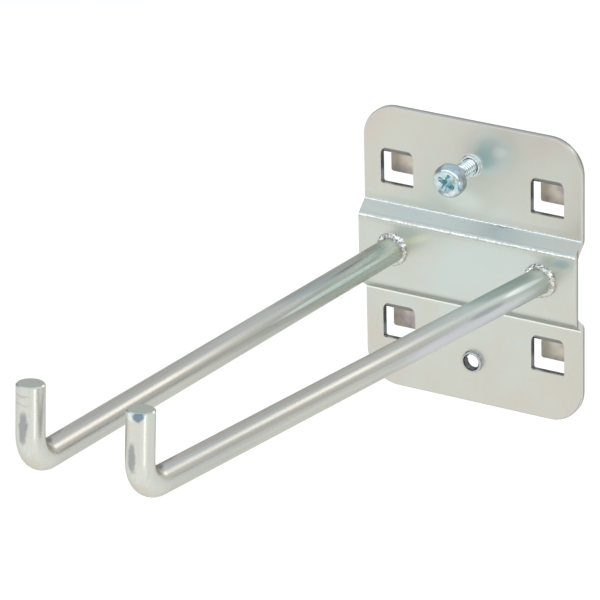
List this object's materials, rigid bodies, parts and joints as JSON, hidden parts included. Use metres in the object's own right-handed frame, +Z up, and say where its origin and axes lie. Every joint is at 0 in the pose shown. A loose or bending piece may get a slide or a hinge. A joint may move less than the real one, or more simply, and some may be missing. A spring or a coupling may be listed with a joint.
{
  "type": "pegboard tool holder",
  "caption": "Zinc-plated double prong tool holder: pressed plate with hook lugs for a perforated panel, two upturned round prongs and a locking screw.",
  "frame": {"origin": "on the panel's face, at the middle of the four hook lugs", "axes": "+Y into the panel, the way the lugs reach; the prongs point to -Y; +X to the right seen from the front; +Z up"},
  "size_m": [0.055, 0.1671, 0.068],
  "materials": {
    "zinc_sheet": "bright zinc plating on pressed sheet, satin, faintly iridescent",
    "zinc_bar": "bright zinc plating on drawn bar, satin with lengthwise streaks",
    "zinc_screw": "bluish bright zinc plating"
  },
  "bodies": {
    "holder": {"mounting_plate": "zinc_sheet", "left_prong": "zinc_bar", "right_prong": "zinc_bar"},
    "screw": {"locking_screw": "zinc_screw"}
  },
  "joints": [
    {"name": "screw_travel", "type": "slide", "parent": "holder", "child": "screw", "axis": [0, 1, 0], "range_m": [-0.001, 0.0074]}
  ]
}
